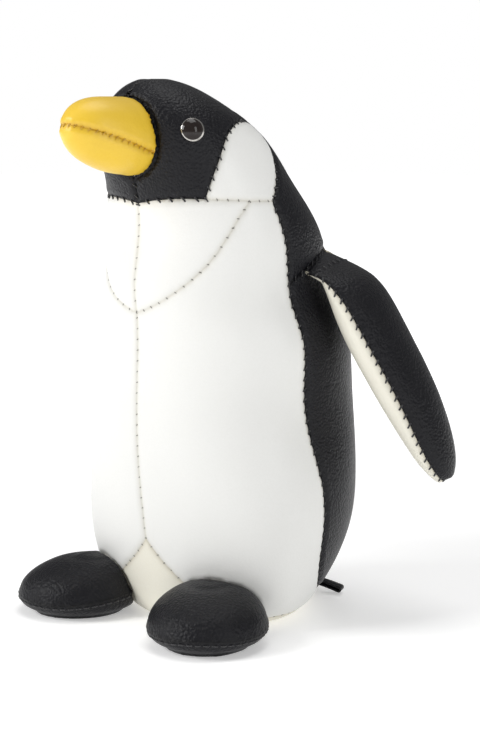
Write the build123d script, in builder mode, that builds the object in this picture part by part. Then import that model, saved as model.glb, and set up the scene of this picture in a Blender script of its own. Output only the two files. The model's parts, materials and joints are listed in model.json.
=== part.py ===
"""Stitched leather-cloth penguin: a stuffed, weighted standing figure.

Millimetres, +Z up.  The bird faces -Y, its left wing is at +X, and the origin is the
middle of the flat underside on the floor.
"""
from build123d import *
from math import copysign
import os

os.makedirs("parts", exist_ok=True)

# ---- whole figure ----
LEATHER = 1.2  # leather cloth thickness
STUFF_GAP = 0.2  # stuffing stands this far inside the leather
REACH = 120  # half size of the cutting solids, past every part of the figure
TOP = 260  # height of the cutting solids, above the crown
BELOW = -5  # foot of the cutting solids, under the floor

# ---- body and head form: one level section per height ----
# z, front y, rear y, half width, y of the widest line, rear point (0 round .. 1 pointed),
# front fullness (0.55 is an ellipse, more is squarer)
STATIONS = [
    (0, -31, 59, 34, -4, 1.0, 0.52),
    (5, -39, 64.5, 46, -6, 0.90, 0.58),
    (15, -43, 65.5, 55, -9, 0.68, 0.62),
    (30, -46, 64.5, 60.5, -9, 0.34, 0.64),
    (50, -49, 62, 63.5, -4, 0.10, 0.62),
    (80, -52, 60, 60.5, 3, 0, 0.60),
    (110, -52, 59.5, 57.7, 4, 0, 0.58),
    (140, -52, 55.5, 53.5, 2, 0, 0.57),
    (165, -51.5, 46.5, 49.5, -3, 0, 0.56),
    (185, -50.5, 34, 46, -9, 0, 0.57),
    (200, -54, 24, 40.5, -16, 0, 0.58),
    (215, -58, 13, 35, -23, 0, 0.64),
    (227, -58.5, -4, 27, -31.5, 0, 0.62),
    (236, -54, -21, 15, -38, 0, 0.56),
    (240, -47, -34, 6, -41, 0, 0.55),
]
ROUND = 0.55  # Bezier handle that makes a quarter ellipse
POINT_NARROW = 0.22  # how a full rear point shortens and shifts the handles beside it
POINT_FORWARD = 0.33
POINT_FLAT = 0.25

# ---- seams, as curves in the side view (y, z) or the front view (x, z) ----
SIDE_SEAM = [(80, 6), (64, 6.5), (44, 8), (24, 11), (9, 19), (3.5, 30), (2, 45), (0, 64),
             (-2.5, 80), (-5, 108), (-7, 140), (-8, 165), (-13, 187)]
CHEEK_REAR = [(-13, 187), (-6.5, 196), (-1, 204), (1.5, 212), (-2.5, 219), (-13, 222.5)]
CHEEK_FRONT = [(-13, 222.5), (-23, 220.5), (-30, 215.5), (-34.5, 208), (-38.5, 197), (-40.5, 187)]
SHOULDER_SEAM = [(-12, 149), (3, 157.5), (25, 165.5), (60, 172)]
SHOULDER_FRONT = -40  # forward of the whole shoulder seam
NECK_SEAM = [(0, 186.8), (28, 189.3), (50, 187.6)]
BIB_SEAM = [(0, 139.7), (13, 144.6), (31.5, 160.5), (40, 179), (43, 192)]
BASE_REAR_Z = 4.5  # height of the base seam behind the feet
BASE_FRONT_SEAM = [(0, 39), (8, 30.5), (22, 19.5), (34, 10.5), (48, BASE_REAR_Z)]
BASE_SPLIT_Y = -20  # the base seam changes from its front to its rear line here

# ---- beak: y, middle height, half height, half width of each section ----
BEAK_STATIONS = [
    (-50, 215.8, 16.6, 16),
    (-57, 215.9, 16.6, 16.4),
    (-64, 216.3, 16, 16.4),
    (-71, 217, 15.1, 15.6),
    (-77, 217.8, 13.8, 14),
    (-82, 218.4, 11.9, 11.9),
    (-86, 218.8, 9.2, 9),
    (-89, 218.9, 6.2, 6),
    (-91, 218.9, 3, 3),
]
MOUTH = [(-45, 205.4), (-96, 222.5)]  # mouth seam in the side view

# ---- eyes ----
EYE_AT = (-45.2, 218.4)  # y, z
EYE_D = 10
EYE_RISE = 3.2
EYE_RIM = 0.7
POST_D = 2
WASHER_D = 8
WASHER_T = 1
WASHER_GAP = 0.9  # the flat washer stands this far behind the curved leather

# ---- feet: z, half width, half length, shift back of each section ----
FOOT_STATIONS = [
    (0, 18.5, 20.5, 0),
    (3.5, 23.2, 25.1, 0),
    (8, 25.9, 27.8, 0),
    (13, 25, 26.9, 0.6),
    (17.5, 22.2, 24.1, 2),
    (21.2, 17.8, 19.6, 3.8),
    (23.9, 12.4, 13.8, 5.6),
    (25.5, 6.5, 7.3, 7),
]
FOOT_AT = (41.5, -50)
FOOT_SPLAY = 36  # degrees outward from straight ahead
SOLE_SEAM = [(-40, 12.5), (-24, 8), (0, 8.5), (40, 10)]  # along the foot, toe first

# ---- wings: along the wing, half chord, half thickness, shift of the middle outward ----
WING_STATIONS = [
    (0, 17, 2.6, 0.4),
    (6, 18.2, 4.8, 2.2),
    (16, 20, 8.6, 3.6),
    (34, 21, 10.6, 3.2),
    (58, 20, 10.7, 2.8),
    (80, 17, 9.7, 2.1),
    (94, 13.5, 7.9, 1),
    (103, 9, 5.4, 0),
    (107.5, 4.5, 2.6, -0.8),
]
# The edge seam, as a curve (along the wing, outward): it starts at the inner edge of the
# root, rides up on to the outer face where the wing is fullest, and comes back to the tip.
WING_SEAM = [(-10, -2), (0, 0), (6, 2.6), (16, 5.8), (34, 7.0), (58, 6.6), (80, 4.4), (94, 1.8),
             (107.5, -0.8), (118, -3)]
WING_ROOT = (50.2, 19.2, 159.4)  # middle of the shoulder line
WING_HINGE = (-0.43, 0.78, 0.454)  # along the shoulder line, front to rear
WING_DIR = (0.443, 0.227, -0.867)  # from the shoulder to the tip at rest

# ---- weight and base ----
BOARD_T = 1.6
BOARD_Z = 2
BOARD_INSET = 10
BAG_WALL = 0.8
BAG_Z = (5, 44)
BAG_RADII = (37, 33)
BAG_ROUND = 14
BAG_Y = 4

# ---- tail ----
TAIL_WIDTH = 7
TAIL_THICK = 3
TAIL_LENGTH = 11
TAIL_AT = (17.9, 48, 6.2)  # its root, just clear of the foot of the left side seam
TAIL_HEADING = 28  # degrees from +X towards +Y
TAIL_DROP = 18  # degrees below level

SIDES = (("left", 1), ("right", -1))


def squeezed(stations, inset):
    """The same stations with both ends of the form moved inward by inset."""
    first, last = stations[0][0], stations[-1][0]
    step = copysign(inset, last - first)
    scale = 1 - 2 * step / (last - first)
    return [(first + step + (place - first) * scale, *rest) for place, *rest in stations]


def level_half_section(z, front, rear, half, widest, point, full, inset):
    """The left half of one level section: two Bezier quarters closed along the middle."""
    front, rear, half = front + inset, rear - inset, half - inset
    tip = ((ROUND - POINT_NARROW * point) * half, rear - POINT_FORWARD * point * (rear - widest))
    flank = widest + (ROUND - POINT_FLAT * point) * (rear - widest)
    brow = widest - full * (widest - front)
    with BuildSketch(Plane.XY.offset(z)) as section:
        with BuildLine():
            Bezier((0, rear), tip, (half, flank), (half, widest))
            Bezier((half, widest), (half, brow), (full * half, front), (0, front))
            Line((0, front), (0, rear))
        make_face()
    return section.sketch


def left_form(inset):
    """The left half of the stuffed body and head, shrunk by inset on every side."""
    sections = [level_half_section(*station, inset) for station in squeezed(STATIONS, inset)]
    with BuildPart() as solid:
        loft(sections)
    return solid.part


def side_prism(curves, *closing):
    """A solid right across the figure from curves drawn in the side view (y, z)."""
    with BuildPart() as prism:
        with BuildSketch(Plane.YZ):
            with BuildLine():
                for curve in curves:
                    Spline(*curve)
                Polyline(curves[-1][-1], *closing, curves[0][0])
            make_face()
        extrude(amount=REACH, both=True)
    return prism.part


def front_prism(curve, start_y, end_y, *closing):
    """A solid from a curve and its mirror drawn in the front view (x, z)."""
    with BuildPart() as prism:
        with BuildSketch(Plane.XZ.offset(-end_y)):
            with BuildLine():
                Spline(*curve)
                Polyline(curve[-1], *closing, curve[0])
            make_face()
            mirror(about=Plane.YZ)
        extrude(amount=end_y - start_y)
    return prism.part


def ellipse_loft(stations, plane_of, inset=0):
    """A form through ellipses given as (place, x radius, y radius, shift)."""
    sections = []
    for place, x_radius, y_radius, shift in stations:
        with BuildSketch(plane_of(place, shift)) as section:
            Ellipse(x_radius - inset, y_radius - inset)
        sections.append(section.sketch)
    with BuildPart() as solid:
        loft(sections)
    return solid.part


def keep(piece, name):
    """Label one finished piece and write it to its own file."""
    piece.part.label = name
    export_step(piece.part, f"parts/{name}.step")


# ---- construction solids, none of them a piece of the figure ----
left_outer = left_form(0)
left_lining = left_form(LEATHER)
left_filling = left_form(LEATHER + STUFF_GAP)
left_skin = left_outer - left_lining

rear_zone = side_prism(
    [SIDE_SEAM, CHEEK_REAR], (CHEEK_REAR[-1][0], TOP), (REACH, TOP), (REACH, SIDE_SEAM[0][1])
)
cheek_zone = side_prism([CHEEK_REAR, CHEEK_FRONT])
shoulder_zone = side_prism(
    [SHOULDER_SEAM],
    (REACH, SHOULDER_SEAM[-1][1]),
    (REACH, TOP),
    (SHOULDER_FRONT, TOP),
    (SHOULDER_FRONT, SHOULDER_SEAM[0][1]),
)
head_zone = front_prism(NECK_SEAM, -REACH, REACH, (REACH, NECK_SEAM[-1][1]), (REACH, TOP), (0, TOP))
bib_zone = front_prism(BIB_SEAM, -REACH, 0, (BIB_SEAM[-1][0], TOP), (0, TOP))
base_zone = front_prism(
    BASE_FRONT_SEAM, -REACH, BASE_SPLIT_Y, (REACH, BASE_REAR_Z), (REACH, BELOW), (0, BELOW)
)
with BuildPart() as base_rear:
    with Locations((0, BASE_SPLIT_Y, BELOW)):
        Box(2 * REACH, REACH, BASE_REAR_Z - BELOW, align=(Align.CENTER, Align.MIN, Align.MIN))
base_zone = base_zone + base_rear.part
front_skin = left_skin - rear_zone
back_skin = left_skin & rear_zone


def beak_plane(y, height):
    """The upright plane of one beak section, facing forward."""
    return Plane(origin=(0, y, height), x_dir=(1, 0, 0), z_dir=(0, -1, 0))


def beak_form(inset):
    """The stuffed beak, shrunk by inset on every side."""
    stations = [(y, half_w, half_h, mid) for y, mid, half_h, half_w in BEAK_STATIONS]
    return ellipse_loft(squeezed(stations, inset), beak_plane, inset)


beak_outer = beak_form(0)
whole_outer = left_outer + mirror(left_outer, about=Plane.YZ)
whole_filling = left_filling + mirror(left_filling, about=Plane.YZ)
mouth_zone = side_prism([MOUTH], (MOUTH[-1][0], TOP), (MOUTH[0][0], TOP))

# ---- body and head cover: each left panel, then its mirror on the right ----
with BuildPart() as chest_bib:
    add(front_skin)
    add(head_zone, mode=Mode.SUBTRACT)
    add(bib_zone, mode=Mode.INTERSECT)

with BuildPart() as belly_panel:
    add(front_skin)
    add(head_zone, mode=Mode.SUBTRACT)
    add(bib_zone, mode=Mode.SUBTRACT)
    add(base_zone, mode=Mode.SUBTRACT)

with BuildPart() as back_panel:
    add(back_skin)
    add(shoulder_zone, mode=Mode.SUBTRACT)
    add(base_zone, mode=Mode.SUBTRACT)

with BuildPart() as nape_panel:
    add(back_skin)
    add(shoulder_zone, mode=Mode.INTERSECT)

with BuildPart() as cheek_panel:
    add(front_skin)
    add(head_zone, mode=Mode.INTERSECT)
    add(cheek_zone, mode=Mode.INTERSECT)

eye_axis = Axis((0, *EYE_AT), (1, 0, 0))
eye_hits = left_outer.find_intersection_points(eye_axis)
eye_point, eye_normal = max(eye_hits, key=lambda hit: hit[0].X)
eye_plane = Plane(origin=eye_point, z_dir=eye_normal)

with BuildPart() as face_panel:
    add(front_skin)
    add(head_zone, mode=Mode.INTERSECT)
    add(cheek_zone, mode=Mode.SUBTRACT)
    add(beak_outer, mode=Mode.SUBTRACT)
    with Locations(eye_plane):
        Cylinder(POST_D / 2, 4 * LEATHER, mode=Mode.SUBTRACT)

for panel, name in (
    (chest_bib, "chest_bib"),
    (belly_panel, "belly_panel"),
    (back_panel, "back_panel"),
    (nape_panel, "nape_panel"),
    (cheek_panel, "cheek_panel"),
    (face_panel, "face_panel"),
):
    keep(panel, f"{name}_left")
    with BuildPart() as twin:
        mirror(panel.part, about=Plane.YZ)
    keep(twin, f"{name}_right")

with BuildPart() as base_panel:
    add(left_skin)
    add(base_zone, mode=Mode.INTERSECT)
    mirror(about=Plane.YZ)
keep(base_panel, "base_panel")

# ---- inside the body: board, weight and stuffing ----
with BuildPart() as base_board:
    with BuildSketch(Plane.XY.offset(BOARD_Z)):
        add(level_half_section(BOARD_Z, *STATIONS[1][1:], BOARD_INSET))
        mirror(about=Plane.YZ)
    extrude(amount=BOARD_T)
keep(base_board, "base_board")

bag_middle = (BAG_Z[0] + BAG_Z[1]) / 2


def pouch(inset):
    """The bag of iron sand as a rounded oval block, shrunk by inset."""
    with BuildPart() as block:
        with BuildSketch(Plane((0, BAG_Y, BAG_Z[0] + inset))):
            Ellipse(BAG_RADII[0] - inset, BAG_RADII[1] - inset)
        extrude(amount=BAG_Z[1] - BAG_Z[0] - 2 * inset)
        fillet(block.edges().group_by(Axis.Z)[0] + block.edges().group_by(Axis.Z)[-1], BAG_ROUND - inset)
    return block.part


with BuildPart() as iron_sand_fill:
    add(pouch(BAG_WALL))
keep(iron_sand_fill, "iron_sand_fill")

with BuildPart() as weight_bag:
    add(pouch(0))
    add(iron_sand_fill.part, mode=Mode.SUBTRACT)
keep(weight_bag, "weight_bag")

with BuildPart() as body_stuffing:
    add(whole_filling)
    add(head_zone, mode=Mode.SUBTRACT)
    add(pouch(0), mode=Mode.SUBTRACT)
    add(base_board.part, mode=Mode.SUBTRACT)
keep(body_stuffing, "body_stuffing")

# ---- beak: two leather halves round one stuffing ----
beak_shell = beak_outer - beak_form(LEATHER) - whole_outer
with BuildPart() as beak_upper:
    add(beak_shell)
    add(mouth_zone, mode=Mode.INTERSECT)
keep(beak_upper, "beak_upper")

with BuildPart() as beak_lower:
    add(beak_shell)
    add(mouth_zone, mode=Mode.SUBTRACT)
keep(beak_lower, "beak_lower")

with BuildPart() as beak_stuffing:
    add(beak_form(LEATHER + STUFF_GAP))
    add(whole_outer, mode=Mode.SUBTRACT)
keep(beak_stuffing, "beak_stuffing")

# ---- eyes: a domed cap with a post through the leather, and a washer behind it ----
post_length = LEATHER + WASHER_GAP + 2 * WASHER_T
dome_radius = (EYE_D**2 / 4 + (EYE_RISE - EYE_RIM) ** 2) / (2 * (EYE_RISE - EYE_RIM))

with BuildPart() as eye_cap:
    with BuildSketch(Plane.XZ):
        with BuildLine():
            Line((0, -post_length), (POST_D / 2, -post_length))
            Line((POST_D / 2, -post_length), (POST_D / 2, 0))
            Line((POST_D / 2, 0), (EYE_D / 2, 0))
            Line((EYE_D / 2, 0), (EYE_D / 2, EYE_RIM))
            RadiusArc((EYE_D / 2, EYE_RIM), (0, EYE_RISE), -dome_radius)
            Line((0, EYE_RISE), (0, -post_length))
        make_face()
    revolve(axis=Axis.Z)

with BuildPart() as eye_back:
    with Locations((0, 0, -LEATHER - WASHER_GAP - WASHER_T)):
        Cylinder(WASHER_D / 2, WASHER_T, align=(Align.CENTER, Align.CENTER, Align.MIN))
        Cylinder(POST_D / 2, 3 * WASHER_T, mode=Mode.SUBTRACT)

left_cap = eye_plane.location * eye_cap.part
left_back = eye_plane.location * eye_back.part
for side, sign in SIDES:
    for piece, name in ((left_cap, "eye_cap"), (left_back, "eye_back")):
        with BuildPart() as eye_piece:
            add(piece if sign > 0 else mirror(piece, about=Plane.YZ))
        keep(eye_piece, f"{name}_{side}")

with BuildPart() as head_stuffing:
    add(whole_filling)
    add(head_zone, mode=Mode.INTERSECT)
    for piece in (left_cap, left_back):
        add(piece, mode=Mode.SUBTRACT)
        add(mirror(piece, about=Plane.YZ), mode=Mode.SUBTRACT)
keep(head_stuffing, "head_stuffing")


# ---- feet: upper and sole round one stuffing, cut to lie against the body ----
toe_to_heel = Vector(0, 1, 0).rotate(Axis.Z, FOOT_SPLAY)


def foot_plane(z, shift):
    """A level plane on the left foot, its y axis running from the toe to the heel."""
    middle = Vector(*FOOT_AT, z) + toe_to_heel * shift
    return Plane(origin=middle, x_dir=toe_to_heel.cross(Vector(0, 0, 1)), z_dir=(0, 0, 1))


def foot_form(inset):
    """The stuffed left foot, shrunk by inset on every side."""
    return ellipse_loft(squeezed(FOOT_STATIONS, inset), foot_plane, inset)


foot_side = Plane(origin=(*FOOT_AT, 0), x_dir=toe_to_heel, z_dir=toe_to_heel.cross(Vector(0, 0, 1)))
with BuildPart() as sole_zone:
    with BuildSketch(foot_side):
        with BuildLine():
            Spline(*SOLE_SEAM)
            Polyline(SOLE_SEAM[-1], (SOLE_SEAM[-1][0], BELOW), (SOLE_SEAM[0][0], BELOW), SOLE_SEAM[0])
        make_face()
    extrude(amount=REACH / 2, both=True)

foot_shell = foot_form(0) - foot_form(LEATHER) - whole_outer
with BuildPart() as foot_upper:
    add(foot_shell)
    add(sole_zone.part, mode=Mode.SUBTRACT)

with BuildPart() as foot_sole:
    add(foot_shell)
    add(sole_zone.part, mode=Mode.INTERSECT)

with BuildPart() as foot_stuffing:
    add(foot_form(LEATHER + STUFF_GAP))
    add(whole_outer, mode=Mode.SUBTRACT)

# ---- wings: black outer and white inner leather round one stuffing ----
hinge = Vector(*WING_HINGE).normalized()
along = Vector(*WING_DIR).normalized()
chord = (hinge - along * hinge.dot(along)).normalized()
outward = along.cross(chord)


def wing_plane(place, shift):
    """The plane across the left wing at one place along it."""
    middle = Vector(*WING_ROOT) + along * place + outward * shift
    return Plane(origin=middle, x_dir=chord, z_dir=along)


def wing_form(inset):
    """The stuffed left wing, shrunk by inset on every side."""
    return ellipse_loft(squeezed(WING_STATIONS, inset), wing_plane, inset)


with BuildPart() as inner_zone:
    with BuildSketch(Plane(origin=WING_ROOT, x_dir=along, z_dir=along.cross(outward))):
        with BuildLine():
            Spline(*WING_SEAM)
            Polyline(WING_SEAM[-1], (WING_SEAM[-1][0], -REACH), (WING_SEAM[0][0], -REACH), WING_SEAM[0])
        make_face()
    extrude(amount=REACH / 2, both=True)

wing_shell = wing_form(0) - wing_form(LEATHER)
with BuildPart() as wing_outer:
    add(wing_shell)
    add(inner_zone.part, mode=Mode.SUBTRACT)

with BuildPart() as wing_inner:
    add(wing_shell)
    add(inner_zone.part, mode=Mode.INTERSECT)

with BuildPart() as wing_stuffing:
    add(wing_form(LEATHER + STUFF_GAP))

for piece, name in (
    (foot_upper, "foot_upper"),
    (foot_sole, "foot_sole"),
    (foot_stuffing, "foot_stuffing"),
    (wing_outer, "wing_outer"),
    (wing_inner, "wing_inner"),
    (wing_stuffing, "wing_stuffing"),
):
    keep(piece, f"{name}_left")
    with BuildPart() as twin:
        mirror(piece.part, about=Plane.YZ)
    keep(twin, f"{name}_right")

# ---- tail: a folded tab out of the foot of the left side seam ----
tail_out = Vector(1, 0, 0).rotate(Axis.Z, TAIL_HEADING)
with BuildPart() as tail_tab:
    with BuildSketch(Plane(origin=TAIL_AT, x_dir=tail_out, z_dir=tail_out.cross(Vector(0, 0, 1)))):
        with Locations(Location((0, 0), -TAIL_DROP)):
            SlotOverall(TAIL_LENGTH, TAIL_THICK, align=(Align.MIN, Align.CENTER))
    extrude(amount=TAIL_WIDTH / 2, both=True)
keep(tail_tab, "tail_tab")
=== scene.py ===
"""The looks of a stuffed faux-leather penguin, sewn from panels round the frame's CAD nodes."""
import json
import math

import bmesh
import bpy
import numpy as np
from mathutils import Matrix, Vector
from mathutils.bvhtree import BVHTree
from mathutils.kdtree import KDTree


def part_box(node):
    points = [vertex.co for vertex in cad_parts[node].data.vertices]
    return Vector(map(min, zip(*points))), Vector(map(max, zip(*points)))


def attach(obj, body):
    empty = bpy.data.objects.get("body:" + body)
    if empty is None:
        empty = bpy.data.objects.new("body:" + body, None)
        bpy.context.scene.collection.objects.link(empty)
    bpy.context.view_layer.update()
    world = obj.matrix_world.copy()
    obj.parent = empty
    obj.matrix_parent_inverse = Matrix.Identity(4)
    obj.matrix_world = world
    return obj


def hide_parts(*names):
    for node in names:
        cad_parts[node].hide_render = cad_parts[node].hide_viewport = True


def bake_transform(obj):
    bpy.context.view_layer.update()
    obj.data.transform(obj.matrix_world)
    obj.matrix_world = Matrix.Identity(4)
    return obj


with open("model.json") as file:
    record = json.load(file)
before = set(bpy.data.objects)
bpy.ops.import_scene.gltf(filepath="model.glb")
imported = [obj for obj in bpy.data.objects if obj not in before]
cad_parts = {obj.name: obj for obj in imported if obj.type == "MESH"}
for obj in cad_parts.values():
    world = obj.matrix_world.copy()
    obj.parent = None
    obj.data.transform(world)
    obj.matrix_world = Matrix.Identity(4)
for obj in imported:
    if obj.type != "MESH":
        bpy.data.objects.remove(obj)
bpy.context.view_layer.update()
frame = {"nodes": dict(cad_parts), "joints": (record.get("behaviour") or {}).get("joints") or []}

MM = 0.001
SIDES = ("left", "right")

# Leather: how thick it is, and how a sewn edge rolls into its seam.
THICK = 1.0 * MM
GROOVE_DEPTH = 0.95 * MM
GROOVE_WIDTH = 1.5 * MM
ROLL_HEIGHT = 0.22 * MM
ROLL_AT = 2.6 * MM
ROLL_WIDTH = 1.3 * MM
PUCKER = 0.30 * MM
PUCKER_WIDTH = 2.0 * MM
PUFF = 0.7 * MM
PUFF_WIDTH = 14 * MM
COVER = 3.5 * MM  # how far a panel goes on behind what is sewn over its open edge
RUFFLE = 0.12 * MM  # small unevenness beside a seam
RUFFLE_LENGTH = 9 * MM
RUFFLE_WIDTH = 6 * MM
LUMP = 0.22 * MM  # broad unevenness of the stuffing away from the seams
LUMP_LENGTH = 42 * MM
LUMP_START = 8 * MM
SEAM_SHADE_AND_WEAR = 2.2 * MM  # how far a seam's painted groove shade and its wear reach
SHARP = math.radians(65)

# Seams: how far apart the stitches are.
PITCH = 4.7 * MM
NECK_PITCH = 6.0 * MM
WING_PITCH = 4.4 * MM
BEAK_PITCH = 3.2 * MM
FOOT_PITCH = 3.6 * MM
FOOT_STITCH = 2.4 * MM  # length of each running stitch on the feet
FOOT_STITCH_BELOW = 1.7 * MM  # how far under the seam it runs


# How far a stitch goes on to the leather: white seams show dots, black and white ones show nibs.
DOT_BITE = 0.22 * MM
NIB_BITE = 0.6 * MM
WING_BITE = 1.1 * MM
BLACK_SIDE_BITE = 0.3 * MM
BLACK_BITE = 0.8 * MM
BEAK_BITE = 0.9 * MM
BEAK_TOP_BITE = 0.1 * MM

# Radius of each thread.
THIN_THREAD = 0.17 * MM
DOT_THREAD = 0.20 * MM
BLACK_SEAM_THREAD = 0.22 * MM
NIB_THREAD = 0.30 * MM
THICK_THREAD = 0.40 * MM


# ---------------------------------------------------------------- points, edges and faces as arrays

def node_arrays(name):
    """The points and polygons of one CAD node."""
    mesh = frame["nodes"][name].data
    points = np.empty(len(mesh.vertices) * 3)
    mesh.vertices.foreach_get("co", points)
    return points.reshape(-1, 3), [tuple(face.vertices) for face in mesh.polygons]


def tree_of(names):
    """One search tree over several CAD nodes, and which node each of its faces belongs to."""
    points, faces, owner = [], [], []
    for place, name in enumerate(names):
        node_points, node_faces = node_arrays(name)
        start = len(points)
        points.extend(map(tuple, node_points))
        faces.extend(tuple(corner + start for corner in face) for face in node_faces)
        owner.extend([place] * len(node_faces))
    return BVHTree.FromPolygons(points, faces), np.array(owner)


def new_mesh(name, points, faces):
    """A mesh from arrays of points and faces."""
    mesh = bpy.data.meshes.new(name)
    mesh.from_pydata([tuple(point) for point in points], [], [tuple(map(int, face)) for face in faces])
    mesh.update()
    return mesh


def new_object(name, mesh):
    """An object in the scene for a mesh."""
    made = bpy.data.objects.new(name, mesh)
    bpy.context.scene.collection.objects.link(made)
    return made


def even_skin(names, cell, whole=False):
    """One closed skin of even quads round several CAD nodes: its points and its faces."""
    joined = bmesh.new()
    for name in names:
        joined.from_mesh(frame["nodes"][name].data)
    mesh = bpy.data.meshes.new("rough")
    joined.to_mesh(mesh)
    joined.free()
    rough = new_object("rough", mesh)
    remesh = rough.modifiers.new("remesh", "REMESH")
    remesh.mode = "VOXEL"
    remesh.voxel_size = cell
    seen = rough.evaluated_get(bpy.context.evaluated_depsgraph_get())
    skin = bpy.data.meshes.new_from_object(seen)
    bpy.data.objects.remove(rough)
    return largest_part(skin, whole)


def largest_part(mesh, whole):
    """The points and faces of a mesh, or of its largest connected part alone."""
    count = len(mesh.vertices)
    points = np.empty(count * 3)
    mesh.vertices.foreach_get("co", points)
    points = points.reshape(-1, 3)
    faces = np.array([tuple(face.vertices) for face in mesh.polygons])
    if whole:
        return points, faces
    edges = edges_of(faces)
    part = np.arange(count)
    while True:
        lower = part.copy()
        np.minimum.at(lower, edges[:, 0], part[edges[:, 1]])
        np.minimum.at(lower, edges[:, 1], part[edges[:, 0]])
        lower = lower[lower]
        if np.array_equal(lower, part):
            break
        part = lower
    keep = part == np.bincount(part).argmax()
    place = np.cumsum(keep) - 1
    return points[keep], place[faces[keep[faces[:, 0]]]]


def edges_of(faces):
    """Each edge of a set of quads once."""
    pairs = np.concatenate([faces[:, [side, (side + 1) % 4]] for side in range(4)])
    return np.unique(np.sort(pairs, axis=1), axis=0)


def smoothed(points, edges, rounds, held=None, weight=0.5):
    """Points moved towards the middle of their neighbours, except the held ones."""
    count = len(points)
    share = np.bincount(edges.ravel(), minlength=count)[:, None]
    for _ in range(rounds):
        total = np.stack([
            np.bincount(edges[:, 0], points[edges[:, 1], axis], count)
            + np.bincount(edges[:, 1], points[edges[:, 0], axis], count)
            for axis in range(3)
        ], axis=1)
        step = weight * (total / np.maximum(share, 1) - points)
        if held is not None:
            step[held] = 0
        points = points + step
    return points


def normals_of(points, faces):
    """The direction that each point of a closed skin faces."""
    across = points[faces[:, 2]] - points[faces[:, 0]]
    along = points[faces[:, 3]] - points[faces[:, 1]]
    facing = np.cross(across, along)
    total = np.zeros_like(points)
    for corner in range(faces.shape[1]):
        for axis in range(3):
            total[:, axis] += np.bincount(faces[:, corner], facing[:, axis], len(points))
    return total / np.maximum(np.linalg.norm(total, axis=1), 1e-12)[:, None]


def on_surface(points, tree):
    """Each point moved to the nearest place on a surface."""
    return np.array([tuple(tree.find_nearest(Vector(point))[0]) for point in points])


# ---------------------------------------------------------------- seams

def chained(edges):
    """Edges put end to end as lists of points."""
    links = {}
    for a, b in edges:
        links.setdefault(a, []).append(b)
        links.setdefault(b, []).append(a)
    chains = []
    starts = [point for point in links if len(links[point]) != 2] + list(links)
    for start in starts:
        while links[start]:
            chain = [start]
            while links[chain[-1]]:
                step = links[chain[-1]].pop()
                links[step].remove(chain[-1])
                chain.append(step)
                if len(links[step]) != 1:
                    break
            chains.append(chain)
    return chains


def spaced(line, step):
    """Points evenly spaced along a line, smoothed a little."""
    line = np.array(line)
    if len(line) > 4:
        for _ in range(3):
            line[1:-1] = (line[:-2] + 2 * line[1:-1] + line[2:]) / 4
    run = np.concatenate([[0], np.cumsum(np.linalg.norm(np.diff(line, axis=0), axis=1))])
    count = max(2, int(round(run[-1] / step)) + 1)
    at = np.linspace(0, run[-1], count)
    return np.stack([np.interp(at, run, line[:, axis]) for axis in range(3)], axis=1)


class Skin:
    """A closed skin cut into the panels that it is sewn from."""

    def __init__(self, panels, fills, cell):
        self.panels = panels
        self.fills = fills
        names = panels + fills
        tree, owner = tree_of(names)
        points, faces = even_skin(names, cell)
        points = on_surface(points, tree)
        centres = points[faces].mean(axis=1)
        nearest = [tree.find_nearest(Vector(centre))[2] for centre in centres]
        label = np.minimum(owner[nearest], len(panels))
        self.edges = edges_of(faces)
        own_trees = [tree_of([name])[0] for name in panels]
        if fills:
            own_trees.append(tree_of(fills)[0])
        touching = [set() for _ in range(len(points))]
        for face, of in zip(faces, label):
            for corner in face:
                touching[corner].add(of)
        border = np.array([len(owners) > 1 for owners in touching])
        for place in np.nonzero(border)[0]:
            found = [own_trees[of].find_nearest(Vector(points[place])) for of in sorted(touching[place])]
            points[place] = tuple(max(found, key=lambda hit: hit[3])[0])
        self.points = smoothed(points, self.edges, 8, held=border)
        self.faces = faces
        self.label = label
        self.seams = self.find_seams()
        self.cover_edges(own_trees)

    def cover_edges(self, own_trees):
        """Carries each panel a little way in behind whatever is sewn over its open edge."""
        middles = self.points[self.faces].mean(axis=1)
        for place in np.nonzero(self.label == len(self.panels))[0]:
            middle = Vector(middles[place])
            hits = [tree.find_nearest(middle, COVER)[3] for tree in own_trees[:len(self.panels)]]
            near = [(far, panel) for panel, far in enumerate(hits) if far is not None]
            if near:
                self.label[place] = min(near)[1]

    def find_seams(self):
        """The line between each pair of panels, as lists of point numbers."""
        beside = {}
        for face, of in zip(self.faces, self.label):
            for side in range(4):
                edge = tuple(sorted((int(face[side]), int(face[(side + 1) % 4]))))
                beside.setdefault(edge, []).append(int(of))
        pairs = {}
        for edge, owners in beside.items():
            if len(owners) == 2 and owners[0] != owners[1]:
                pairs.setdefault(tuple(sorted(owners)), []).append(edge)
        return {pair: chained(edges) for pair, edges in pairs.items()}

    def name(self, place):
        """The panel's name, or open for the side that no panel covers."""
        return self.panels[place] if place < len(self.panels) else "open"


def line_set(skin):
    """The seams of a skin as (pair of panel names, evenly spaced line)."""
    lines = []
    for pair, chains in skin.seams.items():
        names = tuple(skin.name(place) for place in pair)
        for chain in chains:
            if len(chain) > 4:
                lines.append((names, spaced(skin.points[chain], 0.5 * MM)))
    return lines


def waves(points, length, seed, count=7):
    """A smooth uneven field over points, from -1 to 1, made of a few crossing waves."""
    draw = np.random.default_rng(seed)
    total = np.zeros(len(points))
    for _ in range(count):
        way = draw.normal(size=3)
        way *= draw.uniform(0.6, 1.4) / np.linalg.norm(way)
        total += np.sin(points @ way * (2 * math.pi / length) + draw.uniform(0, 2 * math.pi))
    return total / count * 1.6


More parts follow.
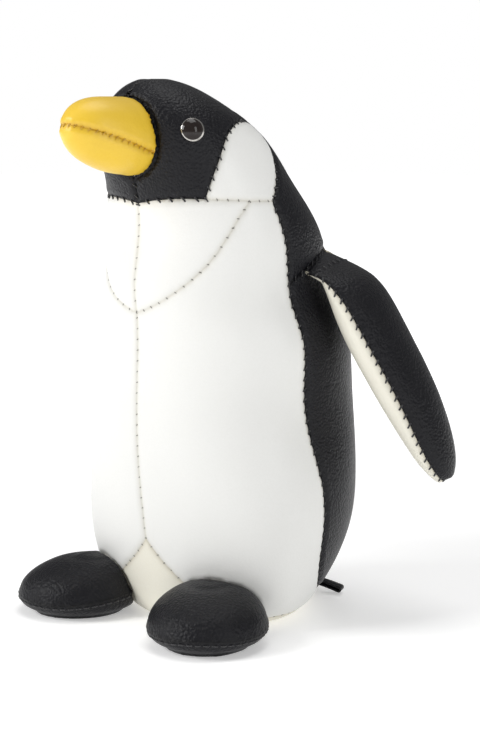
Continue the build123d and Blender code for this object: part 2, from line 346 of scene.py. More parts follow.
def near_line(points, lines):
    """For each point: how far the nearest line is, how far along it that is, and the line's number."""
    total = sum(len(line) for _, line in lines)
    tree = KDTree(total)
    run = np.empty(total)
    which = np.empty(total, int)
    place = 0
    for number, (_, line) in enumerate(lines):
        along = np.concatenate([[0], np.cumsum(np.linalg.norm(np.diff(line, axis=0), axis=1))])
        for point, distance in zip(line, along):
            tree.insert(point, place)
            run[place] = distance
            which[place] = number
            place += 1
    tree.balance()
    found = [tree.find(point)[1:] for point in points]
    place = np.array([hit[0] for hit in found])
    return np.array([hit[1] for hit in found]), run[place], which[place]


def sewn(skin, lines, pitch_of, depth_of, seed, puff=PUFF):
    """Moves a skin's points the way sewing and stuffing do, and keeps how near each is to a seam."""
    near, run, which = near_line(skin.points, lines)
    depth = np.array([depth_of(names) for names, _ in lines])[which]
    pitch = np.array([pitch_of(names) for names, _ in lines])[which]
    facing = normals_of(skin.points, skin.faces)
    out = -GROOVE_DEPTH * depth * np.exp(-near / GROOVE_WIDTH)
    out += ROLL_HEIGHT * depth * np.exp(-((near - ROLL_AT) / ROLL_WIDTH) ** 2)
    pull = (0.5 + 0.5 * np.cos(2 * math.pi * run / pitch)) ** 2
    out -= PUCKER * depth * pull * np.exp(-(near / PUCKER_WIDTH) ** 2)
    out += puff * (1 - np.exp(-near / PUFF_WIDTH))
    out += RUFFLE * waves(skin.points, RUFFLE_LENGTH, seed) * np.exp(-near / RUFFLE_WIDTH)
    out += LUMP * waves(skin.points, LUMP_LENGTH, seed + 1) * (1 - np.exp(-near / LUMP_START))
    skin.facing = facing
    skin.near = near
    skin.points = skin.points + out[:, None] * facing


def panel_piece(skin, place, name):
    """One panel of a sewn skin, as a closed piece of leather with real thickness."""
    faces = skin.faces[skin.label == place]
    used = np.unique(faces)
    renumber = np.full(len(skin.points), -1)
    renumber[used] = np.arange(len(used))
    faces = renumber[faces]
    outer = skin.points[used]
    inner = outer - THICK * skin.facing[used]
    count = len(used)
    sides = np.concatenate([faces[:, [side, (side + 1) % 4]] for side in range(4)])
    key = np.sort(sides, axis=1)
    _, first, times = np.unique(key, axis=0, return_index=True, return_counts=True)
    rim = sides[first[times == 1]]
    walls = np.stack([rim[:, 1], rim[:, 0], rim[:, 0] + count, rim[:, 1] + count], axis=1)
    all_faces = np.concatenate([faces, faces[:, ::-1] + count, walls])
    mesh = new_mesh(name, np.concatenate([outer, inner]), all_faces)
    mesh.shade_smooth()
    mesh.set_sharp_from_angle(angle=SHARP)
    # The seam value drives both the painted shade in the seam grooves and the rubbed wear; the inner
    # side and the rim walls take the full value.
    seam = mesh.attributes.new("seam", "FLOAT", "POINT")
    closeness = np.exp(-skin.near[used] / SEAM_SHADE_AND_WEAR)
    seam.data.foreach_set("value", np.concatenate([closeness, np.ones(count)]).astype(np.float32))
    return new_object(name, mesh)


# ---------------------------------------------------------------- thread

def tube(paths, radius, name, rounds=6):
    """Short threads along lists of points, joined as one mesh with closed ends."""
    points, faces = [], []
    for path in paths:
        path = [Vector(point) for point in path]
        start = len(points)
        for place, point in enumerate(path):
            ahead = (path[min(place + 1, len(path) - 1)] - path[max(place - 1, 0)]).normalized()
            side = ahead.orthogonal() if place == 0 else side - ahead * side.dot(ahead)
            side = side.normalized()
            up = ahead.cross(side)
            for turn in range(rounds):
                angle = 2 * math.pi * turn / rounds
                points.append(point + radius * (math.cos(angle) * side + math.sin(angle) * up))
        for ring in range(len(path) - 1):
            for turn in range(rounds):
                a = start + ring * rounds + turn
                b = start + ring * rounds + (turn + 1) % rounds
                faces.append((a, b, b + rounds, a + rounds))
        last = start + (len(path) - 1) * rounds
        faces.append(tuple(start + turn for turn in reversed(range(rounds))))
        faces.append(tuple(last + turn for turn in range(rounds)))
    mesh = bpy.data.meshes.new(name)
    mesh.from_pydata([tuple(point) for point in points], [], faces)
    mesh.update()
    mesh.shade_smooth()
    return new_object(name, mesh)


def stitch_paths(skin, cad, names, line, pitch, reach, slant, lift=0.12 * MM):
    """Threads across a seam: reach gives how far each goes on to the first and the second panel."""
    surface = skin.surface
    tree, owner = cad
    run = np.concatenate([[0], np.cumsum(np.linalg.norm(np.diff(line, axis=0), axis=1))])
    count = int(run[-1] / pitch)
    paths = []
    for number in range(count + 1):
        at = number * pitch
        spot = [np.interp([at - 0.6 * MM, at, at + 0.6 * MM], run, line[:, axis]) for axis in range(3)]
        before, here, after = (Vector([spot[axis][k] for axis in range(3)]) for k in range(3))
        along = (after - before).normalized()
        facing = surface.find_nearest(here)[1]
        facing = (surface.find_nearest(here + 4 * MM * along.cross(facing))[1]
                  + surface.find_nearest(here - 4 * MM * along.cross(facing))[1]).normalized()
        across = along.cross(facing).normalized()
        beyond = owner[tree.find_nearest(here + 2 * MM * across)[2]]
        if skin.name(min(beyond, len(skin.panels))) != names[0]:
            across = -across
        path = []
        for way, far in ((1, reach[0]), (-1, reach[1])):
            foot = surface.find_nearest(here + across * way * far + along * way * slant * pitch)[0]
            top = foot + facing * lift
            hole = foot + across * way * 0.2 * MM - facing * 0.5 * MM
            path.append((hole, top) if way == 1 else (top, hole))
        bottom = surface.find_nearest(here)[0]
        middle = (path[0][1] + path[1][0]) / 2
        dip = middle.lerp(bottom + facing * lift, 0.35)
        paths.append([path[0][0], path[0][1], path[0][1].lerp(dip, 0.5), dip,
                      dip.lerp(path[1][0], 0.5), path[1][0], path[1][1]])
    return paths


def running_paths(skin, line, pitch, length, below, lift=0.22 * MM):
    """Threads that run beside a seam, each going down into the leather at both ends."""
    run = np.concatenate([[0], np.cumsum(np.linalg.norm(np.diff(line, axis=0), axis=1))])
    paths = []
    for number in range(int(run[-1] / pitch)):
        path = []
        for share in (0, 0.08, 0.35, 0.65, 0.92, 1):
            at = number * pitch + share * length
            on_seam = Vector([np.interp(at, run, line[:, axis]) for axis in range(3)])
            here = on_seam - Vector((0, 0, below))
            spot, facing = skin.surface.find_nearest(here)[:2]
            path.append(spot + facing * (lift if 0 < share < 1 else -0.5 * MM))
        paths.append(path)
    return paths


# ---------------------------------------------------------------- materials

def nodes_of(name):
    """A new material, its node tree and its surface shader."""
    made = bpy.data.materials.new(name)
    made.use_nodes = True
    tree = made.node_tree
    return made, tree, tree.nodes["Principled BSDF"]


def add(tree, kind, **values):
    """A shader node with some of its properties and inputs set."""
    node = tree.nodes.new(kind)
    for key, value in values.items():
        if hasattr(node, key):
            setattr(node, key, value)
        else:
            node.inputs[key.replace("_", " ")].default_value = value
    return node


def mixed(tree, factor, first, second, blend="MIX"):
    """A colour mix of two colours or outputs."""
    mix = tree.nodes.new("ShaderNodeMix")
    mix.data_type = "RGBA"
    mix.blend_type = blend
    for value, socket in ((factor, mix.inputs[0]), (first, mix.inputs[6]), (second, mix.inputs[7])):
        if isinstance(value, bpy.types.NodeSocket):
            tree.links.new(value, socket)
        else:
            socket.default_value = value
    return mix.outputs[2]


def math_node(tree, operation, first, second=0.0, third=0.0):
    """A sum or other operation on numbers or outputs."""
    node = tree.nodes.new("ShaderNodeMath")
    node.operation = operation
    for value, socket in zip((first, second, third), node.inputs):
        if isinstance(value, bpy.types.NodeSocket):
            tree.links.new(value, socket)
        else:
            socket.default_value = value
    return node.outputs[0]


def leather(name, colour, seam_shade, patch, rough, grain, pebble, coat, specular=0.5, worn=None):
    """Coated leather cloth: pebble grain, faint creases, painted shade in the seam grooves and rubbed
    edges.
    """
    made, tree, shader = nodes_of(name)
    links = tree.links
    place = tree.nodes.new("ShaderNodeTexCoord").outputs["Object"]
    bend = add(tree, "ShaderNodeTexNoise", Scale=420.0, Detail=2.0)
    links.new(place, bend.inputs["Vector"])
    shift = add(tree, "ShaderNodeVectorMath", operation="MULTIPLY_ADD")
    links.new(bend.outputs["Color"], shift.inputs[0])
    shift.inputs[1].default_value = (pebble * 0.5,) * 3
    links.new(place, shift.inputs[2])
    cells = add(tree, "ShaderNodeTexVoronoi", feature="SMOOTH_F1", Scale=1 / pebble, Smoothness=0.35)
    links.new(shift.outputs[0], cells.inputs["Vector"])
    fine = add(tree, "ShaderNodeTexNoise", Scale=2.6 / pebble, Detail=3.0, Roughness=0.6)
    links.new(place, fine.inputs["Vector"])
    crease = add(tree, "ShaderNodeTexNoise", Scale=130.0, Detail=4.0, Roughness=0.55)
    links.new(place, crease.inputs["Vector"])
    broad = add(tree, "ShaderNodeTexNoise", Scale=22.0, Detail=3.0)
    links.new(place, broad.inputs["Vector"])
    seam = add(tree, "ShaderNodeAttribute", attribute_name="seam")

    height = math_node(tree, "MULTIPLY", cells.outputs["Distance"], -1.0)
    height = math_node(tree, "MULTIPLY_ADD", fine.outputs["Fac"], 0.35, height)
    height = math_node(tree, "MULTIPLY_ADD", crease.outputs["Fac"], 0.4, height)
    bump = add(tree, "ShaderNodeBump", Strength=grain, Distance=0.30 * pebble)
    links.new(height, bump.inputs["Height"])
    links.new(bump.outputs["Normal"], shader.inputs["Normal"])

    tone = mixed(tree, math_node(tree, "MULTIPLY", broad.outputs["Fac"], 0.8), colour, patch)
    speck = math_node(tree, "MULTIPLY", cells.outputs["Distance"], 0.5)
    tone = mixed(tree, speck, tone, patch)
    if worn is not None:
        rubbed = math_node(tree, "MULTIPLY", seam.outputs["Fac"], crease.outputs["Fac"])
        tone = mixed(tree, math_node(tree, "MULTIPLY", rubbed, 0.35), tone, worn)
    # Painted shade: the leather takes its darker seam colour down in the seam grooves, where shade
    # falls.
    groove_shade = math_node(tree, "POWER", seam.outputs["Fac"], 2.4)
    tone = mixed(tree, groove_shade, tone, seam_shade)
    links.new(tone, shader.inputs["Base Color"])

    gloss = math_node(tree, "MULTIPLY_ADD", broad.outputs["Fac"], 0.12, rough - 0.06)
    gloss = math_node(tree, "MULTIPLY_ADD", cells.outputs["Distance"], 0.15, gloss)
    links.new(gloss, shader.inputs["Roughness"])
    shader.inputs["Coat Weight"].default_value = coat
    shader.inputs["Coat Roughness"].default_value = 0.32
    shader.inputs["Specular IOR Level"].default_value = specular
    return made


def cloth(name, colour, shade, weave, rough=0.9):
    """Woven or fibrous stuff: crossed threads and a soft uneven tone."""
    made, tree, shader = nodes_of(name)
    links = tree.links
    place = tree.nodes.new("ShaderNodeTexCoord").outputs["Object"]
    threads = [add(tree, "ShaderNodeTexWave", bands_direction=way, Scale=weave,
                   Distortion=1.2, Detail=2.0) for way in ("X", "Z")]
    fuzz = add(tree, "ShaderNodeTexNoise", Scale=weave * 1.5, Detail=5.0, Roughness=0.65)
    for node in threads + [fuzz]:
        links.new(place, node.inputs["Vector"])
    crossed = math_node(tree, "MAXIMUM", threads[0].outputs["Fac"], threads[1].outputs["Fac"])
    height = math_node(tree, "MULTIPLY_ADD", fuzz.outputs["Fac"], 0.8, crossed)
    bump = add(tree, "ShaderNodeBump", Strength=0.6, Distance=0.3 * MM)
    links.new(height, bump.inputs["Height"])
    links.new(bump.outputs["Normal"], shader.inputs["Normal"])
    links.new(mixed(tree, fuzz.outputs["Fac"], colour, shade), shader.inputs["Base Color"])
    gloss = math_node(tree, "MULTIPLY_ADD", fuzz.outputs["Fac"], 0.1, rough - 0.05)
    links.new(gloss, shader.inputs["Roughness"])
    shader.inputs["Sheen Weight"].default_value = 0.3
    return made


def metal(name, colour, shade, rough):
    """Plated metal with faint polishing marks."""
    made, tree, shader = nodes_of(name)
    links = tree.links
    place = tree.nodes.new("ShaderNodeTexCoord").outputs["Object"]
    marks = add(tree, "ShaderNodeTexNoise", Scale=900.0, Detail=4.0)
    links.new(place, marks.inputs["Vector"])
    links.new(mixed(tree, marks.outputs["Fac"], colour, shade), shader.inputs["Base Color"])
    gloss = math_node(tree, "MULTIPLY_ADD", marks.outputs["Fac"], 0.08, rough)
    links.new(gloss, shader.inputs["Roughness"])
    bump = add(tree, "ShaderNodeBump", Strength=0.08, Distance=0.02 * MM)
    links.new(marks.outputs["Fac"], bump.inputs["Height"])
    links.new(bump.outputs["Normal"], shader.inputs["Normal"])
    shader.inputs["Metallic"].default_value = 1.0
    return made


# The second colour of each leather is painted shade for its seam grooves.
WHITE = leather("white_leather", (0.82, 0.82, 0.80, 1), (0.62, 0.60, 0.53, 1), (0.77, 0.77, 0.745, 1),
                rough=0.42, grain=0.10, pebble=1.0 * MM, coat=0.15)
# The base and inner wing panels are white leather; this warmer copy of it, darker in its seams, is
# painted shade for where they sit under the body and the wings.
WHITE_IN_SHADE = leather("painted_shade_white_leather", (0.84, 0.82, 0.73, 1), (0.50, 0.46, 0.36, 1), (0.78, 0.75, 0.64, 1),
                rough=0.42, grain=0.10, pebble=1.0 * MM, coat=0.15)
BLACK = leather("black_leather", (0.0035, 0.0035, 0.0050, 1), (0.0015, 0.0015, 0.002, 1),
                (0.0055, 0.0055, 0.008, 1),
                rough=0.34, grain=1.0, pebble=1.2 * MM, coat=0.0, specular=0.24,
                worn=(0.02, 0.02, 0.027, 1))
YELLOW = leather("yellow_leather", (0.82, 0.55, 0.035, 1), (0.56, 0.31, 0.01, 1), (0.76, 0.49, 0.03, 1),
                 rough=0.38, grain=0.14, pebble=1.1 * MM, coat=0.2)
BLACK_THREAD = cloth("black_thread", (0.006, 0.006, 0.008, 1), (0.015, 0.015, 0.018, 1), 2600.0, 0.6)
# White thread given a grey colour: painted shade for the stitches that lie down in the white seam
# grooves.
WHITE_THREAD_IN_SHADE = cloth("painted_shade_white_thread", (0.16, 0.155, 0.14, 1), (0.30, 0.29, 0.26, 1), 2600.0, 0.7)
GOLD_THREAD = cloth("gold_thread", (0.58, 0.32, 0.015, 1), (0.70, 0.42, 0.02, 1), 2600.0, 0.6)
FIBRE = cloth("fibre_fill", (0.82, 0.81, 0.78, 1), (0.70, 0.69, 0.65, 1), 350.0)
BAG = cloth("bag_cloth", (0.62, 0.56, 0.44, 1), (0.50, 0.44, 0.33, 1), 900.0)
SAND = cloth("iron_sand", (0.055, 0.050, 0.048, 1), (0.16, 0.14, 0.13, 1), 1400.0, 0.55)
BOARD = cloth("board", (0.34, 0.24, 0.14, 1), (0.26, 0.18, 0.10, 1), 500.0)
EYE_BACK = metal("eye_washer", (0.55, 0.54, 0.52, 1), (0.45, 0.44, 0.43, 1), 0.30)


# ---------------------------------------------------------------- what is sewn to what

WHITE_PANELS = ("belly", "bib", "cheek", "base", "wing_inner")
SLOT_OF = {"belly": "white_leather", "bib": "white_leather", "cheek": "white_leather",
           "base": "white_leather", "wing_inner": "white_leather", "beak": "yellow_leather"}


def is_white(name):
    """Whether a panel is one of the white ones."""
    return any(word in name for word in WHITE_PANELS)


def finish_of(name):
    """A panel's material."""
    if "beak" in name:
        return YELLOW
    # The panels that sit underneath get the white leather in painted shade.
    if "base" in name or "wing_inner" in name:
        return WHITE_IN_SHADE
    return WHITE if is_white(name) else BLACK


def pitch_of(names):
    """How far apart the stitches of a seam are."""
    joined = " ".join(names)
    if "beak" in joined:
        return BEAK_PITCH
    if "wing" in joined:
        return WING_PITCH
    if "foot" in joined:
        return FOOT_PITCH
    if "bib" in joined and "face" in joined:
        return NECK_PITCH
    return PITCH


def depth_of(names):
    """How deep a seam's groove is, as a share of the full groove."""
    if "tie" in names:
        return 1.1
    if "open" in names:
        return 0.5
    if "foot" in names[0]:
        return -0.4
    if all(is_white(name) for name in names):
        return 0.5
    return 1.0


def thread_of(names):
    """A seam's thread: how far it goes on to each panel, its radius and its material."""
    if "beak" in names[0]:
        far = [BEAK_BITE if "lower" in name else BEAK_TOP_BITE for name in names]
        return far, THIN_THREAD, GOLD_THREAD
    if all(is_white(name) for name in names):
        # White seams: dots of white thread, coloured grey as painted shade.
        return (DOT_BITE, DOT_BITE), DOT_THREAD, WHITE_THREAD_IN_SHADE
    if "foot" in names[0]:
        return (0, 0), NIB_THREAD, BLACK_THREAD  # running stitches, which don't cross the seam
    if any(is_white(name) for name in names):
        joined = " ".join(names)
        bite = WING_BITE if "wing" in joined else NIB_BITE
        radius = THICK_THREAD if "wing" in joined or "bib" in joined else NIB_THREAD
        return [bite if is_white(name) else BLACK_SIDE_BITE for name in names], radius, BLACK_THREAD
    return (BLACK_BITE, BLACK_BITE), BLACK_SEAM_THREAD, BLACK_THREAD


def dressed(piece, material, slot, ride_on, stands_for=()):
    """Gives a piece its material and the body that it moves with, and hides the nodes it replaces; slot
    is not used.
    """
    piece.data.materials.clear()
    piece.data.materials.append(material)
    ride_on(piece)
    if stands_for:
        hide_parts(*stands_for)
    return piece


def slot_of(name):
    """The record's material slot for a panel."""
    for word, slot in SLOT_OF.items():
        if word in name:
            return slot
    return "black_leather"


def sew_up(title, skin, lines, ride_on, unstitched=("open", "tie")):
    """Turns a sewn skin into its panels and the thread along its seams."""
    skin.surface = BVHTree.FromPolygons(list(map(tuple, skin.points)), list(map(tuple, skin.faces)))
    for place, name in enumerate(skin.panels):
        piece = panel_piece(skin, place, "skin_" + name)
        dressed(piece, finish_of(name), slot_of(name), ride_on, (name,))
    cad = tree_of(skin.panels + skin.fills)
    threads = {}
    for names, line in lines:
        if any(name in unstitched for name in names):
            continue
        reach, radius, material = thread_of(names)
        if "foot" in names[0]:
            paths = running_paths(skin, line, pitch_of(names), FOOT_STITCH, FOOT_STITCH_BELOW)
        else:
            slant = 0.03 if all(is_white(name) for name in names) else 0.12
            paths = stitch_paths(skin, cad, names, line, pitch_of(names), reach, slant)
        threads.setdefault((material.name, radius), []).extend(paths)
    for number, ((material, radius), paths) in enumerate(threads.items()):
        piece = tube(paths, radius, f"thread_{title}_{number}")
        slot = "yellow_leather" if "gold" in material else "black_leather"
        dressed(piece, bpy.data.materials[material], slot, ride_on)


def riding(body):
    """A way to make a piece move with one body."""
    return lambda piece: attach(piece, body)


BODY = riding("body")
CELL = 1.1 * MM
BODY_WORDS = ("belly_panel", "chest_bib", "face_panel", "cheek_panel", "nape_panel", "back_panel")
body_panels = [f"{word}_{side}" for word in BODY_WORDS for side in SIDES] + ["base_panel"]
body_tree = tree_of(body_panels)[0]
body = Skin(body_panels, ["body_stuffing", "head_stuffing"], CELL)
body_lines = line_set(body)

# Feet
ties = []
for side in SIDES:
    foot = Skin([f"foot_upper_{side}", f"foot_sole_{side}"], [f"foot_stuffing_{side}"], 0.8 * CELL)
    foot_lines = line_set(foot)
    ties += [(("tie", "tie"), line) for names, line in foot_lines if "open" in names]
    sewn(foot, foot_lines, pitch_of, depth_of, seed=11, puff=0.4 * MM)
    foot.points[:, 2] = np.maximum(foot.points[:, 2], 0)
    sew_up(f"foot_{side}", foot, foot_lines, BODY)

# Beak
beak = Skin(["beak_upper", "beak_lower"], ["beak_stuffing"], 0.7 * CELL)
beak_lines = line_set(beak)
sewn(beak, beak_lines, pitch_of, depth_of, seed=21, puff=0.5 * MM)
BEAK_TUCK = 3 * MM  # the beak's edge is pushed into the face over this width
beak_edge = [(names, line) for names, line in beak_lines if "open" in names]
tucked = np.clip(1 - near_line(beak.points, beak_edge)[0] / BEAK_TUCK, 0, 1)
beak.points[:, 1] += 1.4 * MM * tucked
sew_up("beak", beak, beak_lines, BODY)

# Wings
ROOT_TAPER = 6 * MM
SHOULDER_TAPER = 13 * MM
ROOT_SINK = 1.5 * MM
wing_bends = {}
for side in SIDES:
    joint = next(found for found in frame["joints"] if found["name"] == f"wing_{side}_flap")
    wing = Skin([f"wing_outer_{side}", f"wing_inner_{side}"], [f"wing_stuffing_{side}"], 0.8 * CELL)
    wing_lines = line_set(wing)
    sewn(wing, wing_lines, pitch_of, depth_of, seed=31, puff=0.4 * MM)
    root = np.array(joint["pos_m"])
    tip = wing.points[np.linalg.norm(wing.points - root, axis=1).argmax()]
    out_along = (tip - root) / np.linalg.norm(tip - root)
    at_root = body_tree.find_nearest(Vector(root))[1]
    outward = np.array(at_root) - out_along * np.dot(at_root, out_along)
    outward /= np.linalg.norm(outward)
    shoulder = [(names, line) for names, line in body_lines
                if set(names) == {f"nape_panel_{side}", f"back_panel_{side}"}]
    seam_points = np.concatenate([line for _, line in shoulder])
    from_root = (wing.points - root) @ out_along
    on_top = np.clip(0.5 + ((wing.points - root) @ outward - 0.5 * MM) / (3 * MM), 0, 1)
    taper = ROOT_TAPER + (SHOULDER_TAPER - ROOT_TAPER) * on_top
    share = np.clip(1 - from_root / taper, 0, 1) ** (1.5 + 0.5 * on_top)
    for place in np.nonzero(share > 0)[0]:
        here = wing.points[place]
        under = np.array(body_tree.find_nearest(Vector(here))[0])
        seam_at = seam_points[np.linalg.norm(seam_points - here, axis=1).argmin()]
        there = under + on_top[place] * (seam_at - under) - ROOT_SINK * outward
        wing.points[place] += share[place] * (there - here)

    def bends(piece, root=root, out_along=out_along, side=side):
        """Bakes the piece's placement into its mesh."""
        tuple(root)
        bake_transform(piece)

    wing_bends[side] = bends
    sew_up(f"wing_{side}", wing, wing_lines, bends)
    ties += [(("tie", "tie"), line) for names, line in wing_lines if "open" in names]

# Body and head
sewn(body, body_lines + ties, pitch_of, depth_of, seed=41)
body.points[:, 2] = np.maximum(body.points[:, 2], 0)
sew_up("body", body, body_lines, BODY)


# ---------------------------------------------------------------- inside pieces

def stuffing(name, ride_on, material, slot, cell, clump):
    """A filling or a bag: an uneven soft mass inside the space of its CAD node."""
    points, faces = even_skin([name], cell, whole=True)
    points = smoothed(points, edges_of(faces), 2)
    facing = normals_of(points, faces)
    sink = 0.35 * MM + clump * (0.5 + 0.5 * waves(points, 11 * MM, 51))
    mesh = new_mesh("filling_" + name, points - sink[:, None] * facing, faces)
    mesh.shade_smooth()
    piece = dressed(new_object("filling_" + name, mesh), material, slot, ride_on, (name,))


for name in ("body_stuffing", "head_stuffing", "beak_stuffing"):
    stuffing(name, BODY, FIBRE, "fibre_fill", 2.4 * MM, 0.8 * MM)
for side in SIDES:
    stuffing(f"foot_stuffing_{side}", BODY, FIBRE, "fibre_fill", 1.6 * MM, 0.5 * MM)
    stuffing(f"wing_stuffing_{side}", wing_bends[side], FIBRE, "fibre_fill", 1.6 * MM, 0.5 * MM)
stuffing("weight_bag", BODY, BAG, "bag_cloth", 1.0 * MM, 0.1 * MM)

EYE_RIM_AT = 4.45 * MM  # the rim starts this far from the eye's axis
EYE_RIM_EDGE = 0.25 * MM  # and blends in over this width


def eye_finish():
    """A dark glossy dome with a thin polished rim, drawn by how far it is from the eye's axis."""
    made, tree, shader = nodes_of("eye_glaze")
    links = tree.links
    low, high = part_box("eye_cap_left")
    centre = (low + high) / 2
    axis = body_tree.find_nearest(centre)[1]
    place = tree.nodes.new("ShaderNodeTexCoord").outputs["Object"]
    split = tree.nodes.new("ShaderNodeSeparateXYZ")
    links.new(place, split.inputs[0])
    join = tree.nodes.new("ShaderNodeCombineXYZ")
    links.new(math_node(tree, "ABSOLUTE", split.outputs["X"]), join.inputs["X"])
    links.new(split.outputs["Y"], join.inputs["Y"])
    links.new(split.outputs["Z"], join.inputs["Z"])
    offset = add(tree, "ShaderNodeVectorMath", operation="SUBTRACT")
    links.new(join.outputs[0], offset.inputs[0])
    offset.inputs[1].default_value = centre
    across = add(tree, "ShaderNodeVectorMath", operation="CROSS_PRODUCT")
    links.new(offset.outputs[0], across.inputs[0])
    across.inputs[1].default_value = axis
    length = add(tree, "ShaderNodeVectorMath", operation="LENGTH")
    links.new(across.outputs[0], length.inputs[0])
    rim = math_node(tree, "MULTIPLY_ADD", length.outputs["Value"], 1 / EYE_RIM_EDGE,
                    -EYE_RIM_AT / EYE_RIM_EDGE)
    rim = math_node(tree, "MINIMUM", math_node(tree, "MAXIMUM", rim, 0.0), 1.0)
    marks = add(tree, "ShaderNodeTexNoise", Scale=700.0, Detail=4.0)
    links.new(place, marks.inputs["Vector"])
    dark = mixed(tree, marks.outputs["Fac"], (0.012, 0.009, 0.008, 1), (0.022, 0.016, 0.014, 1))
    links.new(mixed(tree, rim, dark, (0.55, 0.53, 0.50, 1)), shader.inputs["Base Color"])
    links.new(rim, shader.inputs["Metallic"])
    gloss = math_node(tree, "MULTIPLY_ADD", marks.outputs["Fac"], 0.05, 0.05)
    links.new(math_node(tree, "MULTIPLY_ADD", rim, 0.15, gloss), shader.inputs["Roughness"])
    shader.inputs["Specular IOR Level"].default_value = 0.3
    return made


EYE = eye_finish()
for name, material in (("iron_sand_fill", SAND), ("base_board", BOARD),
                       ("eye_cap_left", EYE), ("eye_cap_right", EYE),
                       ("eye_back_left", EYE_BACK), ("eye_back_right", EYE_BACK)):
    data = frame["nodes"][name].data
    data.materials.clear()
    data.materials.append(material)


# ---------------------------------------------------------------- tail tab

TAIL_HALF = 3.4 * MM  # half width of the strip
TAIL_REACH = 10.5 * MM  # from the seam to the fold
TAIL_TUCK = 2.0 * MM  # hidden in the seam
TAIL_FOLD = 1.0 * MM  # half the gap between the two layers
TAIL_RIPPLE = 0.25 * MM
TAIL_DROOP = 3.4 * MM  # how far the fold hangs below the seam
TAIL_STEPS = 8  # along each layer
TURN_STEPS = 8  # round the fold
tail_joint = next(found for found in frame["joints"] if found["name"] == "tail_flex")
tail_root = np.array(tail_joint["pos_m"])
tail_side = np.array(tail_joint["axis"]) / np.linalg.norm(tail_joint["axis"])
tail_low, tail_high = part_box("tail_tab")
tail_out = np.cross((0, 0, 1), tail_side)
tail_out *= np.sign(np.dot(tail_out, np.array((tail_low + tail_high) / 2) - tail_root))


def tail_tab():
    """A strip folded into a flat loop, its fold rolled at the far end."""
    def layer(share, side):
        """A point of the upper (1) or lower (-1) layer, from the seam (0) to the fold (1)."""
        far = share * (TAIL_REACH + TAIL_TUCK) - TAIL_TUCK
        return far, side * TAIL_FOLD - TAIL_DROOP * share ** 1.3

    path = [layer(step / TAIL_STEPS, 1) for step in range(TAIL_STEPS + 1)]
    for turn in range(1, TURN_STEPS):
        angle = math.pi / 2 - math.pi * turn / TURN_STEPS
        path.append((TAIL_REACH + TAIL_FOLD * math.cos(angle),
                     TAIL_FOLD * math.sin(angle) - TAIL_DROOP))
    path += [layer(1 - step / TAIL_STEPS, -1) for step in range(TAIL_STEPS + 1)]
    sketch = bmesh.new()
    rows = []
    for far, high in path:
        pinch = 0.72 + 0.28 * far / TAIL_REACH
        row = []
        for across in range(-3, 4):
            spot = tail_root + far * tail_out + pinch * TAIL_HALF * across / 3 * tail_side
            ripple = TAIL_RIPPLE * math.cos(across * 1.3)
            row.append(sketch.verts.new(Vector(spot) + Vector((0, 0, high + ripple))))
        rows.append(row)
    for ahead, behind in zip(rows[1:], rows[:-1]):
        for k in range(6):
            sketch.faces.new((behind[k], behind[k + 1], ahead[k + 1], ahead[k]))
    mesh = bpy.data.meshes.new("tail_strip")
    bmesh.ops.recalc_face_normals(sketch, faces=sketch.faces)
    sketch.to_mesh(mesh)
    sketch.free()
    piece = new_object("tail_strip", mesh)
    solid = piece.modifiers.new("thickness", "SOLIDIFY")
    solid.thickness = THICK
    solid.offset = 0
    round_over = piece.modifiers.new("round", "SUBSURF")
    round_over.levels = round_over.render_levels = 2
    seen = piece.evaluated_get(bpy.context.evaluated_depsgraph_get())
    finished = bpy.data.meshes.new_from_object(seen)
    piece.modifiers.clear()
    piece.data = finished
    finished.shade_smooth()
    return piece


dressed(tail_tab(), BLACK, "black_leather",
        lambda piece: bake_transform(piece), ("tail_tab",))

# ---------------------------------------------------------------- floor, light and camera

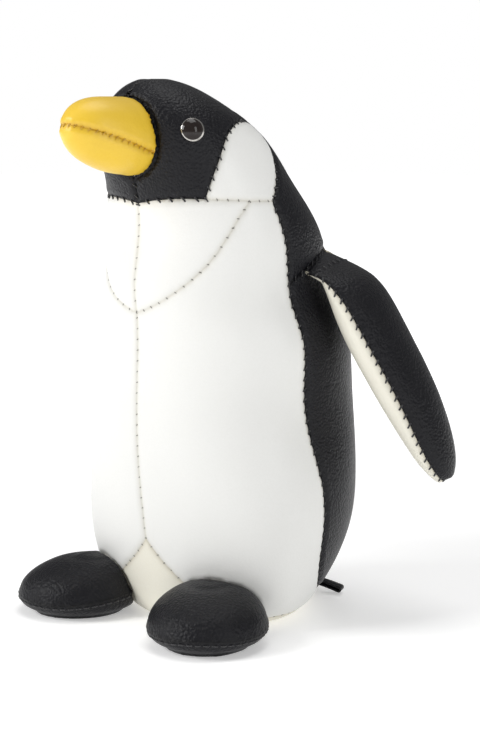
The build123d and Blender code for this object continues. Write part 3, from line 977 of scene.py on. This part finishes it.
floor_mesh = bpy.data.meshes.new("floor")
FLOOR_HALF = 6.0
floor_mesh.from_pydata([(-FLOOR_HALF, -FLOOR_HALF, 0), (FLOOR_HALF, -FLOOR_HALF, 0),
                        (FLOOR_HALF, FLOOR_HALF, 0), (-FLOOR_HALF, FLOOR_HALF, 0)], [], [(0, 1, 2, 3)])
floor = new_object("floor", floor_mesh)
FLOOR_GLOW = 0.34  # round the object, rising to full white in the distance
floor_made, floor_tree, floor_shader = nodes_of("floor_paper")
floor_shader.inputs["Base Color"].default_value = (0.90, 0.90, 0.90, 1)
floor_shader.inputs["Roughness"].default_value = 0.85
floor_shader.inputs["Emission Color"].default_value = (1, 1, 1, 1)
floor_place = floor_tree.nodes.new("ShaderNodeTexCoord").outputs["Object"]
floor_far = add(floor_tree, "ShaderNodeVectorMath", operation="LENGTH")
floor_tree.links.new(floor_place, floor_far.inputs[0])
floor_glow = math_node(floor_tree, "MULTIPLY_ADD", floor_far.outputs["Value"], 1.6, -0.16)
floor_glow = math_node(floor_tree, "MAXIMUM", floor_glow, FLOOR_GLOW)
floor_glow = math_node(floor_tree, "MINIMUM", floor_glow, 1.0)
floor_tree.links.new(floor_glow, floor_shader.inputs["Emission Strength"])
floor_mesh.materials.append(floor_made)


def area_light(name, place, aim, size, power):
    """A soft box pointing at a place on the object."""
    data = bpy.data.lights.new(name, "AREA")
    data.shape = "RECTANGLE"
    data.size, data.size_y = size
    data.energy = power
    lamp = bpy.data.objects.new(name, data)
    lamp.location = place
    lamp.rotation_euler = (Vector(aim) - Vector(place)).to_track_quat("-Z", "Y").to_euler()
    bpy.context.scene.collection.objects.link(lamp)


MIDDLE = (0, 0, 0.12)
area_light("key", (-0.55, -1.05, 0.75), MIDDLE, (0.6, 0.6), 10.5)
area_light("side", (1.2, -0.10, 0.55), MIDDLE, (0.35, 0.8), 3.4)
area_light("top", (0.0, 0.1, 1.5), MIDDLE, (0.9, 0.9), 8)

world = bpy.data.worlds.new("studio")
bpy.context.scene.world = world
world.use_nodes = True
WORLD_LIGHT = 0.26
room = world.node_tree
room.nodes["Background"].inputs["Color"].default_value = (1, 1, 1, 1)
seen_straight = room.nodes.new("ShaderNodeLightPath").outputs["Is Camera Ray"]
room_light = math_node(room, "MULTIPLY_ADD", seen_straight, 1.0 - WORLD_LIGHT, WORLD_LIGHT)
room.links.new(room_light, room.nodes["Background"].inputs["Strength"])

camera_data = bpy.data.cameras.new("camera")
camera_data.lens = 88.9
camera_data.clip_start = 0.01
camera = bpy.data.objects.new("camera", camera_data)
camera.location = (0.5775, -0.585, 0.220)
camera.rotation_euler = (math.radians(90 - 7.58), 0, math.radians(44))
bpy.context.scene.collection.objects.link(camera)
bpy.context.scene.camera = camera
bpy.context.scene.view_settings.view_transform = "Standard"
